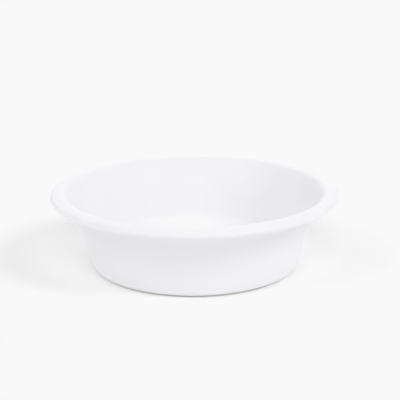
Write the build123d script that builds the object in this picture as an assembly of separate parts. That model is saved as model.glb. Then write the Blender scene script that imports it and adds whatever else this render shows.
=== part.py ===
from build123d import *
import math
import os
from collections import namedtuple

# Flat-bottomed porcelain evaporating dish, without a pouring spout.
# Millimetres. The origin is the centre of the foot, on the surface that the dish stands on, and +Z
# is the dish's axis of revolution.
#
# The real object is one fired porcelain body with clear glaze fused to it. The glaze leaves the foot
# bare, because the dish stands on it in the kiln. So there are four solids: the body, the coat inside,
# the coat outside, and the coat in the panel under the floor.

# Driving dimensions, over the glaze.
RIM_DIAMETER = 160.0
HEIGHT = 43.4
BASE_DIAMETER = 113.6  # where the line of the outer wall meets the surface below
WALL_LEAN = 15.6  # degrees from upright
WALL = 2.9
FLOOR = 3.2
INNER_CORNER_RADIUS = 11.0  # floor to inner wall
OUTER_CORNER_RADIUS = 4.4  # foot to outer wall
LIP_WIDTH = 6.2  # from the crest of the lip to its edge
LIP_CROWN_RADIUS = 19.0  # the gentle fall from the crest to the edge
LIP_EDGE_RADIUS = 2.1  # the full round of the edge, thicker than the wall
LIP_BEND_RADIUS = 4.0  # from the crest down into the flare of the wall
LIP_BEND = 50.0  # degrees that the bend turns through before the flare takes over
FOOT_WIDTH = 3.0
FOOT_HEIGHT = 1.0
FOOT_FLANK = 45.0  # degrees, the steepest slope of the foot's inner flank
GLAZE = 0.25
BARE_INNER = 30.0  # degrees of the foot's inner round that the glaze leaves bare
BARE_OUTER = 32.0  # degrees of the outer corner that the glaze leaves bare

TOUCHING = 1e-6  # two ends of the section nearer than this are one point

# Directions in the section are in degrees from +X, anticlockwise.
EAST, NORTH, WEST, SOUTH = 0.0, 90.0, 180.0, 270.0

# A round stretch of the glazed section. Walked with the material on its left, a positive sweep is an
# outward bulge and a negative one a hollow.
Turn = namedtuple("Turn", "centre radius start sweep")


def step(point, direction, distance):
    """The point that lies a distance away in a direction."""
    angle = math.radians(direction)
    return (point[0] + distance * math.cos(angle), point[1] + distance * math.sin(angle))


def cut(turn, first, last):
    """The stretch of a turn between two sweeps from its start."""
    return Turn(turn.centre, turn.radius, turn.start + first, last - first)


def backwards(turns):
    """The same stretches, walked from the last to the first."""
    return [Turn(t.centre, t.radius, t.start + t.sweep, -t.sweep) for t in reversed(turns)]


def sunk(turns, depth):
    """The same stretches at a depth under the glazed surface."""
    return [t._replace(radius=t.radius - math.copysign(depth, t.sweep)) for t in turns]


# Layout of the section, worked out from the driving dimensions.
lean = math.radians(WALL_LEAN)
upright = 90.0 - WALL_LEAN  # degrees that the section turns through between level and wall
floor_height = FOOT_HEIGHT + FLOOR


def radius_beside_wall(height, inset):
    """Radius of the point at a height that lies an inset inside the outer wall's line."""
    return BASE_DIAMETER / 2 + (height * math.sin(lean) - inset) / math.cos(lean)


outer_corner_centre = (radius_beside_wall(OUTER_CORNER_RADIUS, OUTER_CORNER_RADIUS), OUTER_CORNER_RADIUS)
inner_corner_height = floor_height + INNER_CORNER_RADIUS
inner_corner_centre = (
    radius_beside_wall(inner_corner_height, WALL + INNER_CORNER_RADIUS),
    inner_corner_height,
)
crest_radius = RIM_DIAMETER / 2 - LIP_WIDTH
bend_centre = (crest_radius, HEIGHT - LIP_BEND_RADIUS)
bend_end = step(bend_centre, NORTH + LIP_BEND, LIP_BEND_RADIUS)
bend_end_inset = (radius_beside_wall(bend_end[1], 0) - bend_end[0]) * math.cos(lean)
# The flare is the arc that carries on from the bend and runs out on the straight wall.
flare_radius = (WALL - bend_end_inset) / (1 - math.sin(math.radians(LIP_BEND + WALL_LEAN)))
flare_centre = step(bend_centre, NORTH + LIP_BEND, LIP_BEND_RADIUS - flare_radius)
crown_centre = (crest_radius, HEIGHT - LIP_CROWN_RADIUS)
crown_reach = LIP_CROWN_RADIUS - LIP_EDGE_RADIUS
crown_sweep = math.degrees(math.asin((LIP_WIDTH - LIP_EDGE_RADIUS) / crown_reach))
edge_centre = step(crown_centre, NORTH - crown_sweep, crown_reach)

# The straight underside of the lip touches the hollow under the bend and the round of the edge.
hollow_radius = LIP_BEND_RADIUS - WALL
across, down = edge_centre[0] - bend_centre[0], edge_centre[1] - bend_centre[1]
tilt = math.atan2(down, across) + math.acos((hollow_radius + LIP_EDGE_RADIUS) / math.hypot(across, down))
underside = math.degrees(tilt)

flank = math.radians(FOOT_FLANK)
flank_radius = FOOT_HEIGHT / 2 / (1 - math.cos(flank))
foot_inner_radius = outer_corner_centre[0] - FOOT_WIDTH
panel_radius = foot_inner_radius - 2 * flank_radius * math.sin(flank)

# The round stretches of the glazed section, from the panel under the floor round to the floor.
panel_bend = Turn((panel_radius, FOOT_HEIGHT - flank_radius), flank_radius, NORTH, -FOOT_FLANK)
foot_round = Turn((foot_inner_radius, flank_radius), flank_radius, SOUTH - FOOT_FLANK, FOOT_FLANK)
outer_corner = Turn(outer_corner_centre, OUTER_CORNER_RADIUS, SOUTH, upright)
under_flare = Turn(flare_centre, flare_radius - WALL, WEST - WALL_LEAN, LIP_BEND - upright)
under_bend = Turn(bend_centre, hollow_radius, NORTH + LIP_BEND, underside - NORTH - LIP_BEND)
edge_below = Turn(edge_centre, LIP_EDGE_RADIUS, underside - WEST, WEST - underside)
edge_above = Turn(edge_centre, LIP_EDGE_RADIUS, EAST, NORTH - crown_sweep)
crown = Turn(crown_centre, LIP_CROWN_RADIUS, NORTH - crown_sweep, crown_sweep)
bend = Turn(bend_centre, LIP_BEND_RADIUS, NORTH, LIP_BEND)
flare = Turn(flare_centre, flare_radius, NORTH + LIP_BEND, upright - LIP_BEND)
inner_corner = Turn(inner_corner_centre, INNER_CORNER_RADIUS, EAST - WALL_LEAN, -upright)

# Which stretches each coat covers, and which are bare.
base_turns = [panel_bend, cut(foot_round, 0, FOOT_FLANK - BARE_INNER)]
bare_turns = [cut(foot_round, FOOT_FLANK - BARE_INNER, FOOT_FLANK), cut(outer_corner, 0, BARE_OUTER)]
outside_turns = [cut(outer_corner, BARE_OUTER, upright), under_flare, under_bend, edge_below]
inside_turns = [edge_above, crown, bend, flare, inner_corner]


def panel_centre(depth):
    """The middle of the panel under the floor, at a depth under its glazed surface."""
    return (0, FOOT_HEIGHT + depth)


def floor_centre(depth):
    """The middle of the floor, at a depth under its glazed surface."""
    return (0, floor_height - depth)


def section(stops):
    """A face bounded by turns and corner points in order, with straight lines between them."""
    edges = []
    firsts = []
    lasts = []
    for stop in stops:
        if isinstance(stop, Turn):
            edges.append(CenterArc(*stop))
            firsts.append(step(stop.centre, stop.start, stop.radius))
            lasts.append(step(stop.centre, stop.start + stop.sweep, stop.radius))
        else:
            firsts.append(stop)
            lasts.append(stop)
    for last, first in zip(lasts, firsts[1:] + firsts[:1]):
        if math.dist(last, first) > TOUCHING:
            edges.append(Line(last, first))
    return make_face(edges)


def turned(stops):
    """The solid that a section sweeps round the dish's axis."""
    return revolve(Plane.XZ * section(stops), Axis.Z, 360)


def porcelain_body():
    """The fired body, which reaches the surface only at the bare foot."""
    under = [panel_centre(GLAZE)] + sunk(base_turns, GLAZE)
    over = sunk(outside_turns + inside_turns, GLAZE) + [floor_centre(GLAZE)]
    return turned(under + bare_turns + over)


def inside_glaze():
    """The coat from the lip's edge over its crest and down the wall to the floor."""
    back = backwards(sunk(inside_turns, GLAZE))
    return turned(inside_turns + [floor_centre(0), floor_centre(GLAZE)] + back)


def outside_glaze():
    """The coat from just above the bare foot up the wall and under the lip to its edge."""
    return turned(outside_turns + backwards(sunk(outside_turns, GLAZE)))


def base_glaze():
    """The coat of the panel under the floor, inside the bare foot."""
    back = backwards(sunk(base_turns, GLAZE))
    return turned([panel_centre(0)] + base_turns + back + [panel_centre(GLAZE)])


os.makedirs("parts", exist_ok=True)
for make in (porcelain_body, inside_glaze, outside_glaze, base_glaze):
    piece = make()
    piece.label = make.__name__
    export_step(piece, f"parts/{make.__name__}.step")
print("crest diameter", round(2 * crest_radius, 2))
print("flare radius", round(flare_radius, 2), "from height", round(bend_end[1], 2))
print("edge centre", round(2 * edge_centre[0], 2), "across, height", round(edge_centre[1], 2))
print("foot face", round(2 * foot_inner_radius, 2), "to", round(2 * outer_corner_centre[0], 2))
print("floor diameter", round(2 * inner_corner_centre[0], 2))
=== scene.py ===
import math
from collections import namedtuple

import bpy
from mathutils import Matrix, Vector


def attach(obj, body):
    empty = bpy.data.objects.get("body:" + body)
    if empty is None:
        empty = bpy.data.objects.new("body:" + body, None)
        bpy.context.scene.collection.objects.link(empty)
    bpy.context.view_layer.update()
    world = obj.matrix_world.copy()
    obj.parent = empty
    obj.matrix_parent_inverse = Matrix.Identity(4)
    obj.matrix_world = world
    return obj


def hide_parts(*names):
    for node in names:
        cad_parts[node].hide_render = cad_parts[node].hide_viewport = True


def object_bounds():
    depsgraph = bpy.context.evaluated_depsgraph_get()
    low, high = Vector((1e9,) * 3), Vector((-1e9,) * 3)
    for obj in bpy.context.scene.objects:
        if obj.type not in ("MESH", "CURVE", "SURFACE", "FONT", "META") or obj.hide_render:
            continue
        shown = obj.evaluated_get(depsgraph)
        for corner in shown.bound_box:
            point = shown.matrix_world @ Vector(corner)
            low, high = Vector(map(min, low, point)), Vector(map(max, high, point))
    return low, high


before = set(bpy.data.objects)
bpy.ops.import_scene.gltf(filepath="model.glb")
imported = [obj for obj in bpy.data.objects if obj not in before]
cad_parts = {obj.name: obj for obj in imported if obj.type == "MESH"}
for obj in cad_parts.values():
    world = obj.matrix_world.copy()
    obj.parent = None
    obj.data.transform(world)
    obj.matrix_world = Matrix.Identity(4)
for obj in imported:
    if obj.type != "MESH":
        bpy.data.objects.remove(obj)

cad_low, cad_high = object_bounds()

# A glazed porcelain evaporating dish. Its section is drawn in millimetres, and meshes are in metres.
MM = 0.001

# ---------------------------------------------------------------- sizes, over the glaze
RIM_RADIUS = cad_high.x / MM
HEIGHT = cad_high.z / MM
BASE_RADIUS = 56.8  # where the line of the outer wall meets the surface below
WALL_LEAN = 15.6  # degrees from upright
WALL = 2.9
FLOOR = 3.2
INNER_CORNER_RADIUS = 11.0
OUTER_CORNER_RADIUS = 4.4
LIP_WIDTH = 6.2  # from the crest to the edge
LIP_CROWN_RADIUS = 19.0
LIP_EDGE_RADIUS = 2.1
LIP_BEND_RADIUS = 4.0
LIP_BEND = 50.0  # degrees, where the bend hands over to the flare of the wall
FOOT_WIDTH = 3.0
FOOT_HEIGHT = 1.0
FOOT_FLANK = 45.0  # degrees
GLAZE = 0.25
BARE_INNER = 30.0  # degrees of the foot's inner round left bare
BARE_OUTER = 32.0  # degrees of the outer corner left bare

# What making and firing add to the drawing.
OUT_OF_ROUND = 0.16  # mm that the rim's radius wanders, always inwards
RIM_DIP = 0.10  # mm that the rim's height wanders, always downwards
FORMING_RINGS = 0.010  # mm, how far the rings of the forming tool go under the surface
GLAZE_ROLL = 0.9  # mm over which the glaze rounds off to its free edge
GLAZE_BEAD = 0.05  # mm that the glaze stands proud just behind its free edge
EDGE_WANDER = 3.0  # degrees that the glaze's free edge wanders along the foot's rounds

# ---------------------------------------------------------------- mesh fineness
AROUND = 240  # faces in each ring
SPACING = 0.8  # mm between rings on straight stretches
TOUCHING = 1e-6  # mm between two points of the section that count as one
SHARP = math.radians(35)  # edges sharper than this aren't shaded smooth

# ---------------------------------------------------------------- the section
# Directions in it are in degrees from +X, anticlockwise.
EAST, NORTH, WEST, SOUTH = 0.0, 90.0, 180.0, 270.0
# Walked with the material on its left, a turn with a positive sweep is an outward bulge.
Turn = namedtuple("Turn", "centre radius start sweep faces")
# A point of the section with the direction that its surface faces.
Station = namedtuple("Station", "radius height out_radius out_height")


def step(point, direction, distance):
    """The point that lies a distance away in a direction, in degrees."""
    angle = math.radians(direction)
    return (point[0] + distance * math.cos(angle), point[1] + distance * math.sin(angle))


def cut(turn, first, last, faces):
    """The stretch of a turn between two sweeps from its start."""
    return turn._replace(start=turn.start + first, sweep=last - first, faces=faces)


lean = math.radians(WALL_LEAN)
upright = 90.0 - WALL_LEAN  # degrees that the section turns through between level and wall
floor_height = FOOT_HEIGHT + FLOOR


def radius_beside_wall(height, inset):
    """Radius of the point at a height that lies an inset inside the outer wall's line."""
    return BASE_RADIUS + (height * math.sin(lean) - inset) / math.cos(lean)


outer_corner_centre = (radius_beside_wall(OUTER_CORNER_RADIUS, OUTER_CORNER_RADIUS), OUTER_CORNER_RADIUS)
inner_corner_height = floor_height + INNER_CORNER_RADIUS
inner_corner_centre = (
    radius_beside_wall(inner_corner_height, WALL + INNER_CORNER_RADIUS),
    inner_corner_height,
)
crest_radius = RIM_RADIUS - LIP_WIDTH
bend_centre = (crest_radius, HEIGHT - LIP_BEND_RADIUS)
bend_end = step(bend_centre, NORTH + LIP_BEND, LIP_BEND_RADIUS)
bend_end_inset = (radius_beside_wall(bend_end[1], 0) - bend_end[0]) * math.cos(lean)
flare_radius = (WALL - bend_end_inset) / (1 - math.sin(math.radians(LIP_BEND + WALL_LEAN)))
flare_centre = step(bend_centre, NORTH + LIP_BEND, LIP_BEND_RADIUS - flare_radius)
crown_centre = (crest_radius, HEIGHT - LIP_CROWN_RADIUS)
crown_reach = LIP_CROWN_RADIUS - LIP_EDGE_RADIUS
crown_sweep = math.degrees(math.asin((LIP_WIDTH - LIP_EDGE_RADIUS) / crown_reach))
edge_centre = step(crown_centre, NORTH - crown_sweep, crown_reach)
# The straight underside of the lip touches the hollow under the bend and the round of the edge.
hollow_radius = LIP_BEND_RADIUS - WALL
across, down = edge_centre[0] - bend_centre[0], edge_centre[1] - bend_centre[1]
tilt = math.atan2(down, across) + math.acos((hollow_radius + LIP_EDGE_RADIUS) / math.hypot(across, down))
underside = math.degrees(tilt)
flank = math.radians(FOOT_FLANK)
flank_radius = FOOT_HEIGHT / 2 / (1 - math.cos(flank))
foot_inner_radius = outer_corner_centre[0] - FOOT_WIDTH
panel_radius = foot_inner_radius - 2 * flank_radius * math.sin(flank)

# The round stretches of the section, from the panel under the floor round to the floor.
panel_bend = Turn((panel_radius, FOOT_HEIGHT - flank_radius), flank_radius, NORTH, -FOOT_FLANK, 8)
foot_round = Turn((foot_inner_radius, flank_radius), flank_radius, SOUTH - FOOT_FLANK, FOOT_FLANK, 8)
outer_corner = Turn(outer_corner_centre, OUTER_CORNER_RADIUS, SOUTH, upright, 16)
under_flare = Turn(flare_centre, flare_radius - WALL, WEST - WALL_LEAN, LIP_BEND - upright, 24)
under_bend = Turn(bend_centre, hollow_radius, NORTH + LIP_BEND, underside - NORTH - LIP_BEND, 18)
edge_below = Turn(edge_centre, LIP_EDGE_RADIUS, underside - WEST, WEST - underside, 18)
edge_above = Turn(edge_centre, LIP_EDGE_RADIUS, EAST, NORTH - crown_sweep, 14)
crown = Turn(crown_centre, LIP_CROWN_RADIUS, NORTH - crown_sweep, crown_sweep, 10)
bend = Turn(bend_centre, LIP_BEND_RADIUS, NORTH, LIP_BEND, 20)
flare = Turn(flare_centre, flare_radius, NORTH + LIP_BEND, upright - LIP_BEND, 26)
inner_corner = Turn(inner_corner_centre, INNER_CORNER_RADIUS, EAST - WALL_LEAN, -upright, 22)


def stations_on(turn):
    """Points along a turn, with the direction that its surface faces."""
    facing = math.copysign(1, turn.sweep)
    found = []
    for i in range(turn.faces + 1):
        direction = turn.start + turn.sweep * i / turn.faces
        angle = math.radians(direction)
        point = step(turn.centre, direction, turn.radius)
        found.append(Station(*point, facing * math.cos(angle), facing * math.sin(angle)))
    return found


def stations_between(first, last):
    """Points inside a straight stretch."""
    count = max(1, round(math.dist(first[:2], last[:2]) / SPACING))
    return [
        Station(*(a + (b - a) * i / count for a, b in zip(first, last)))
        for i in range(1, count)
    ]


def walk(turns, start=None, end=None):
    """Stations along turns and along the straight stretches between them."""
    found = [start] if start else []
    for ahead in [stations_on(turn) for turn in turns] + ([[end]] if end else []):
        if not found:
            found = ahead
        elif math.dist(found[-1][:2], ahead[0][:2]) > TOUCHING:
            found += stations_between(found[-1], ahead[0]) + ahead
        else:
            found += ahead[1:]
    return found


panel_middle = Station(0.0, FOOT_HEIGHT, 0.0, -1.0)
floor_middle = Station(0.0, floor_height, 0.0, 1.0)


def base_stations(slip):
    """The panel under the floor, out to the glaze's free edge inside the foot."""
    last = FOOT_FLANK - BARE_INNER + slip
    return walk([panel_bend, cut(foot_round, 0, last, 10)], start=panel_middle)


def outside_stations(slip):
    """From the glaze's free edge above the foot, up the wall and under the lip to its edge."""
    first = BARE_OUTER + slip
    rolled = first + math.degrees(GLAZE_ROLL / OUTER_CORNER_RADIUS)
    corner = [cut(outer_corner, first, rolled, 12), cut(outer_corner, rolled, upright, 14)]
    return walk(corner + [under_flare, under_bend, edge_below])


def inside_stations():
    """From the lip's edge over its crest and down the wall to the middle of the floor."""
    return walk([edge_above, crown, bend, flare, inner_corner], end=floor_middle)


def bare_stations():
    """The foot, from one free edge of the glaze to the other."""
    inner = cut(foot_round, FOOT_FLANK - BARE_INNER, FOOT_FLANK, 8)
    outer = cut(outer_corner, 0, BARE_OUTER, 12)
    return walk([inner, outer])


# ---------------------------------------------------------------- what making and firing do
def wander(azimuth, seed):
    """A smooth closed wave round the dish, between -1 and 1."""
    waves = [math.cos(lobe * azimuth + seed * lobe) / lobe for lobe in (2, 3, 5)]
    return sum(waves) / (1 / 2 + 1 / 3 + 1 / 5)


def ripple(azimuth, seed):
    """A finer closed wave round the dish, between -1 and 1."""
    waves = [math.cos(lobe * azimuth + seed * lobe) for lobe in (7, 11, 18)]
    return sum(waves) / 3


def forming_rings(station):
    """How deep the forming tool's rings lie at a station."""
    along = station.height + 0.7 * station.radius
    fine = 0.6 * math.sin(1.7 * along + 1.3)
    middle = math.sin(0.9 * along)
    broad = 0.8 * math.sin(0.34 * along + 0.4)
    return FORMING_RINGS * (1 + (fine + middle + broad) / 2.4)


def fired(station, depth, azimuth):
    """Where a point at a depth under a station ends up on the fired dish, in metres."""
    radius = station.radius - station.out_radius * depth
    height = station.height - station.out_height * depth
    share = max(0.0, height / HEIGHT) ** 2
    radius -= OUT_OF_ROUND * share * (0.5 + 0.5 * wander(azimuth, 1.0)) * radius / RIM_RADIUS
    height -= RIM_DIP * share * (0.5 + 0.5 * wander(azimuth, 2.3)) * radius / RIM_RADIUS
    return (radius * math.cos(azimuth) * MM, radius * math.sin(azimuth) * MM, height * MM)


def coat_depths(stations, free_end):
    """Depths of a coat's upper surface, which rounds off to its free end, if any, behind a slight bead."""
    depths = [forming_rings(s) for s in stations]
    if free_end is None:
        return depths
    order = range(len(stations)) if free_end == "first" else range(len(stations) - 1, -1, -1)
    travelled = 0.0
    last = None
    for i in order:
        if last is not None:
            travelled += math.dist(stations[last][:2], stations[i][:2])
        last = i
        near = min(travelled / GLAZE_ROLL, 1.0)
        depths[i] += GLAZE * (1 - math.sqrt(1 - (1 - near) ** 2))
        depths[i] -= GLAZE_BEAD * math.sin(math.pi * min(travelled / (4 * GLAZE_ROLL), 1.0)) * near
    return depths


def body_depths(stations):
    """Depths of the porcelain's surface: under the glaze, and none on the foot's face where it is bare."""
    depths = []
    for s in stations:
        above = min(1.0, s.height / (GLAZE * 2))
        bare = panel_radius < s.radius and s.out_height < 0 and s.height < FOOT_HEIGHT
        depths.append(GLAZE * above * above * (3 - 2 * above) if bare else GLAZE)
    return depths


# ---------------------------------------------------------------- meshes
azimuths = [2 * math.pi * j / AROUND for j in range(AROUND)]


def ring(station, depth):
    """One ring of points, or a single point where it lies on the axis."""
    if station.radius < TOUCHING:
        return [fired(station, depth, 0.0)]
    return [fired(station, depth, azimuth) for azimuth in azimuths]


def skin(rows, closed):
    """Points and faces through rings, in order, and from the last ring to the first if closed."""
    points = [p for row in rows for p in row]
    firsts = [sum(len(row) for row in rows[:i]) for i in range(len(rows))]
    pairs = list(zip(range(len(rows)), range(1, len(rows))))
    if closed:
        pairs.append((len(rows) - 1, 0))
    faces = []
    for low, high in pairs:
        a, b = firsts[low], firsts[high]
        for j in range(AROUND):
            k = (j + 1) % AROUND
            if len(rows[low]) == 1 and len(rows[high]) == 1:
                break
            if len(rows[low]) == 1:
                faces.append((a, b + k, b + j))
            elif len(rows[high]) == 1:
                faces.append((a + j, a + k, b))
            else:
                faces.append((a + j, a + k, b + k, b + j))
    return points, faces


def piece(name, rows, closed, material):
    """A piece of the dish from its rings, which stands for the CAD node of the same name."""
    points, faces = skin(rows, closed)
    mesh = bpy.data.meshes.new(name)
    mesh.from_pydata(points, [], faces)
    mesh.update()
    mesh.shade_smooth()
    mesh.set_sharp_from_angle(angle=SHARP)
    mesh.materials.append(material)
    made = bpy.data.objects.new(name, mesh)
    bpy.context.scene.collection.objects.link(made)
    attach(made, "root")
    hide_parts(name.removesuffix("_shape"))


def coat(name, stations_for, free_end, seed, material):
    """A coat of glaze: its upper surface, and its underside against the porcelain."""
    columns = []
    for azimuth in azimuths:
        slip = EDGE_WANDER * (0.6 * wander(azimuth, seed) + 0.4 * ripple(azimuth, seed))
        stations = stations_for(slip)
        top = [fired(s, d, azimuth) for s, d in zip(stations, coat_depths(stations, free_end))]
        under = [fired(s, GLAZE, azimuth) for s in reversed(stations)]
        columns.append((stations, top + under))
    on_axis = [s.radius < TOUCHING for s in columns[0][0]]
    on_axis += reversed(on_axis)
    rows = []
    for i, single in enumerate(on_axis):
        row = [points[i] for _, points in columns]
        rows.append(row[:1] if single else row)
    piece(name, rows, True, material)


def porcelain(name, material):
    """The fired body, whose surface shows only at the bare foot."""
    stations = base_stations(0.0)[:-1] + bare_stations() + outside_stations(0.0)[1:]
    stations += inside_stations()[1:]
    rows = [ring(s, d) for s, d in zip(stations, body_depths(stations))]
    piece(name, rows, False, material)


# ---------------------------------------------------------------- materials
def adder(tree):
    """A function that adds a node to a tree, with values or links for its inputs."""

    def add(kind, inputs=None, **settings):
        node = tree.nodes.new(kind)
        for key, value in settings.items():
            setattr(node, key, value)
        for key, value in (inputs or {}).items():
            if isinstance(value, bpy.types.NodeSocket):
                tree.links.new(value, node.inputs[key])
            else:
                node.inputs[key].default_value = value
        return node

    return add


def new_material(name):
    """A node material, its shader, and functions that add nodes and links."""
    material = bpy.data.materials.new(name)
    material.use_nodes = True
    tree = material.node_tree
    return material, tree.nodes["Principled BSDF"], adder(tree), tree.links.new


def noise(add, where, scale, detail=2.0):
    """A noise texture's value. scale is in features per metre."""
    inputs = {"Vector": where, "Scale": scale, "Detail": detail, "Roughness": 0.5}
    return add("ShaderNodeTexNoise", inputs).outputs["Fac"]


def remap(add, value, low, high, start=0.3, stop=0.7):
    """A value in a new range, smoothly."""
    inputs = {"Value": value, "From Min": start, "From Max": stop, "To Min": low, "To Max": high}
    return add("ShaderNodeMapRange", inputs, interpolation_type="SMOOTHSTEP").outputs["Result"]


def blend_colours(add, factor, first, second):
    """A colour between two, by a factor."""
    # A mix node keeps its colours in inputs 6 and 7, and the result in output 2.
    mix = add("ShaderNodeMix", {"Factor": factor}, data_type="RGBA")
    for socket, colour in ((mix.inputs[6], first), (mix.inputs[7], second)):
        if isinstance(colour, bpy.types.NodeSocket):
            mix.id_data.links.new(colour, socket)
        else:
            socket.default_value = (*colour, 1.0)
    return mix.outputs[2]


GLAZE_COOL = (0.897, 0.897, 0.916)
GLAZE_WARM = (0.904, 0.904, 0.918)
# Rougher than a real glaze, which is about 0.05 to 0.1. A smoother one leaves dark outlines in the render.
GLAZE_ROUGHNESS = (0.275, 0.31)
GLAZE_PEEL = 0.000012  # metres
BISCUIT_CLEAN = (0.89, 0.88, 0.855)
BISCUIT_RUBBED = (0.84, 0.83, 0.80)
BISCUIT_SPECKLE = (0.68, 0.65, 0.60)
BISCUIT_GRAIN = 0.00006  # metres
# The floor glows faintly, and about twice as strongly under and round the dish: painted light that lifts
# the shadows beside the dish.
FLOOR_GLOW = 0.048
DISH_GLOW = 0.045
DISH_GLOW_EDGE = (0.08, 0.20)  # metres from the dish's middle, over which its glow fades


def glaze_material():
    """Clear glaze over white porcelain, with pooled and thinner patches and a faint orange peel."""
    material, shader, add, link = new_material("glaze")
    where = add("ShaderNodeTexCoord").outputs["Object"]
    pools = remap(add, noise(add, where, 16.0), 0.0, 1.0)
    link(blend_colours(add, pools, GLAZE_COOL, GLAZE_WARM), shader.inputs["Base Color"])
    link(remap(add, noise(add, where, 60.0), *GLAZE_ROUGHNESS), shader.inputs["Roughness"])
    bumps = noise(add, where, 210.0, 1.0)
    peel = add("ShaderNodeBump", {"Strength": 1.0, "Distance": GLAZE_PEEL, "Height": bumps})
    link(peel.outputs["Normal"], shader.inputs["Normal"])
    shader.inputs["IOR"].default_value = 1.5
    return material


def biscuit_material():
    """Unglazed porcelain: matt, fine-grained, with a little grey rubbed in from benches."""
    material, shader, add, link = new_material("biscuit")
    where = add("ShaderNodeTexCoord").outputs["Object"]
    grain = noise(add, where, 2600.0, 4.0)
    smears = remap(add, noise(add, where, 90.0, 3.0), 0.0, 1.0)
    base = blend_colours(add, smears, BISCUIT_CLEAN, BISCUIT_RUBBED)
    speckle = remap(add, noise(add, where, 1500.0, 1.0), 0.0, 0.35, 0.66, 0.74)
    link(blend_colours(add, speckle, base, BISCUIT_SPECKLE), shader.inputs["Base Color"])
    link(remap(add, grain, 0.72, 0.9), shader.inputs["Roughness"])
    bump = add("ShaderNodeBump", {"Strength": 0.6, "Distance": BISCUIT_GRAIN, "Height": grain})
    link(bump.outputs["Normal"], shader.inputs["Normal"])
    return material


def floor_material():
    """A plain pale sweep with a faint glow, brighter near the dish as painted light."""
    material, shader, add, link = new_material("pale_floor")
    shader.inputs["Base Color"].default_value = (0.90, 0.90, 0.90, 1.0)
    shader.inputs["Roughness"].default_value = 1.0
    shader.inputs["Specular IOR Level"].default_value = 0.0
    shader.inputs["Emission Color"].default_value = (1.0, 1.0, 1.0, 1.0)
    where = add("ShaderNodeNewGeometry").outputs["Position"]
    from_dish = add("ShaderNodeVectorMath", {0: where}, operation="LENGTH").outputs["Value"]
    # Painted light: the glow is stronger near the dish, lifting the shadows there.
    glow = remap(add, from_dish, FLOOR_GLOW + DISH_GLOW, FLOOR_GLOW, *DISH_GLOW_EDGE)
    link(glow, shader.inputs["Emission Strength"])
    return material


glaze = glaze_material()
biscuit = biscuit_material()
porcelain("porcelain_body_shape", biscuit)
coat("inside_glaze_shape", lambda slip: inside_stations(), None, 0.0, glaze)
coat("outside_glaze_shape", outside_stations, "first", 0.8, glaze)
coat("base_glaze_shape", base_stations, "last", 2.1, glaze)

# ---------------------------------------------------------------- camera
# It looks down at about 16 degrees, from a little over four rim diameters away.
CAMERA_ELEVATION = math.radians(15.67)
CAMERA_DISTANCE = 0.6907  # metres from the middle of the rim
CAMERA_ROLL = math.radians(0.32)
RIM_LEVEL = 0.04129  # metres up to the middle of the rim
LENS = 111.87  # mm, for a frame of SENSOR mm
SENSOR = 36.0
AIM_RIGHT = 0.00296  # metres that the camera aims beside the middle of the rim
AIM_DOWN = 0.00437

rim_middle = Vector((0.0, 0.0, RIM_LEVEL))
away = Vector((0.0, -math.cos(CAMERA_ELEVATION), math.sin(CAMERA_ELEVATION)))
right = Vector((1.0, 0.0, 0.0))
above = right.cross(-away)
camera = bpy.data.objects.new("camera", bpy.data.cameras.new("camera"))
bpy.context.scene.collection.objects.link(camera)
camera.data.lens = LENS
camera.data.sensor_width = SENSOR
camera.location = rim_middle + away * CAMERA_DISTANCE
aim = rim_middle + right * AIM_RIGHT - above * AIM_DOWN
look = (aim - camera.location).to_track_quat("-Z", "Y")
camera.rotation_mode = "QUATERNION"
camera.rotation_quaternion = look @ Matrix.Rotation(-CAMERA_ROLL, 4, "Z").to_quaternion()
bpy.context.scene.camera = camera

# ---------------------------------------------------------------- floor and light
FLOOR_REACH = 6.0  # metres each way
FLOOR_GAP = 0.0001  # metres. The foot's face would flicker against a floor at its own height.
SOFTBOX_ANGLE = 24.0  # degrees that each light spans
floor_mesh = bpy.data.meshes.new("floor")
corners = [(-1, -1), (1, -1), (1, 1), (-1, 1)]
level = [(x * FLOOR_REACH, y * FLOOR_REACH, -FLOOR_GAP) for x, y in corners]
floor_mesh.from_pydata(level, [], [(0, 1, 2, 3)])
floor_mesh.materials.append(floor_material())
floor = bpy.data.objects.new("floor", floor_mesh)
bpy.context.scene.collection.objects.link(floor)


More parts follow.
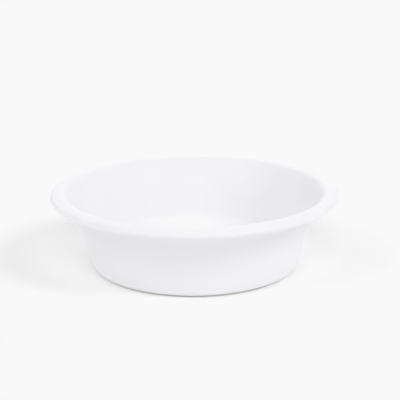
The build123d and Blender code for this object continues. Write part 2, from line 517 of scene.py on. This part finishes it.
def towards(azimuth, elevation):
    """A direction from the dish. Azimuth 0 is the camera's side, and 90 the right."""
    a, e = math.radians(azimuth), math.radians(elevation)
    return Vector((math.sin(a) * math.cos(e), -math.cos(a) * math.cos(e), math.sin(e)))


def softbox(name, azimuth, elevation, strength):
    """A wide soft light from far off, hidden from reflections so that it leaves no highlight."""
    data = bpy.data.lights.new(name, "SUN")
    data.energy = strength
    data.angle = math.radians(SOFTBOX_ANGLE)
    light = bpy.data.objects.new(name, data)
    bpy.context.scene.collection.objects.link(light)
    light.location = towards(azimuth, elevation)
    light.rotation_euler = (-light.location).to_track_quat("-Z", "Y").to_euler()
    light.visible_glossy = False


softbox("key", 60, 40, 0.933)
softbox("fill", -60, 40, 0.528)
softbox("front", 0, 40, 0.460)
softbox("top_left", -45, 60, 0.220)
softbox("back_right", 120, 20, 0.311)
softbox("back_left", -120, 20, 0.257)

# The surroundings shine evenly, and more strongly behind the dish.
ROOM = 0.464
BACK_WALL = 0.705
BACK_WALL_MIDDLE = towards(180, 15)
BACK_WALL_FALLOFF = 4.0
world = bpy.data.worlds.new("studio")
world.use_nodes = True
background = world.node_tree.nodes["Background"]
background.inputs["Color"].default_value = (1.0, 1.0, 1.0, 1.0)
add = adder(world.node_tree)
direction = add("ShaderNodeTexCoord").outputs["Generated"]
aligned = add("ShaderNodeVectorMath", {0: direction, 1: BACK_WALL_MIDDLE}, operation="DOT_PRODUCT")
ahead = add("ShaderNodeMath", {0: aligned.outputs["Value"], 1: 0.0}, operation="MAXIMUM")
lobe = add("ShaderNodeMath", {0: ahead.outputs[0], 1: BACK_WALL_FALLOFF}, operation="POWER")
strength = add("ShaderNodeMath", {0: lobe.outputs[0], 1: BACK_WALL, 2: ROOM}, operation="MULTIPLY_ADD")
world.node_tree.links.new(strength.outputs[0], background.inputs["Strength"])
bpy.context.scene.world = world

# A tone curve scales the picture, so that full brightness and above come out at this near-white.
BURNT_OUT = 0.947
view = bpy.context.scene.view_settings
view.view_transform = "Standard"
view.use_curve_mapping = True
view.curve_mapping.extend = "HORIZONTAL"
view.curve_mapping.curves[3].points[1].location = (1.0, BURNT_OUT)
view.curve_mapping.update()
